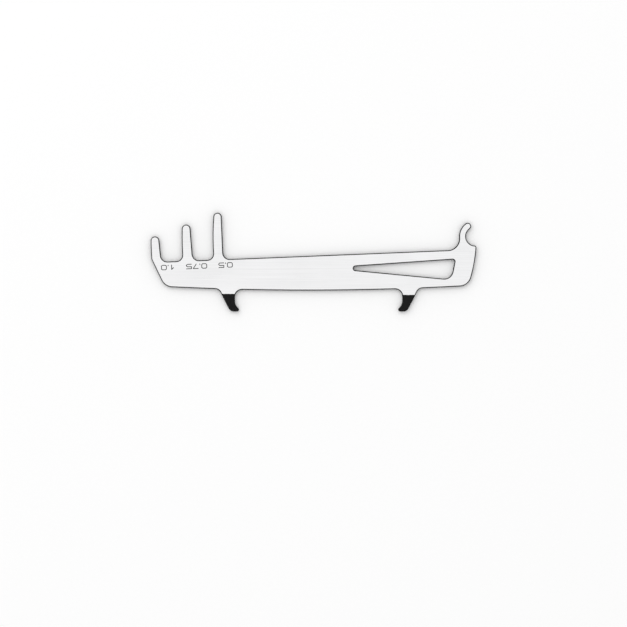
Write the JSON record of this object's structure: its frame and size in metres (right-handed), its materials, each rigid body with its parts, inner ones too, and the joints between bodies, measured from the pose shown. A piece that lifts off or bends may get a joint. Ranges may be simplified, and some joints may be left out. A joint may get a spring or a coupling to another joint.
{
  "type": "chain wear gauge",
  "caption": "Flat steel bicycle chain wear gauge with stepped teeth, a datum hook, a pair of chain hooks and a long tapered window.",
  "frame": {"origin": "centre of the roller seat in the datum hook, on the face that the gauge lies on", "axes": "X runs along the gauge, with the teeth at the -X end. +Y is the side that the teeth and the datum hook stand up on. +Z is the plate's thickness, away from the face that it lies on"},
  "size_m": [0.1377, 0.0418, 0.002],
  "materials": {
    "gauge_plate": "satin"
  },
  "bodies": {
    "root": {"gauge_plate": "gauge_plate"}
  },
  "joints": []
}
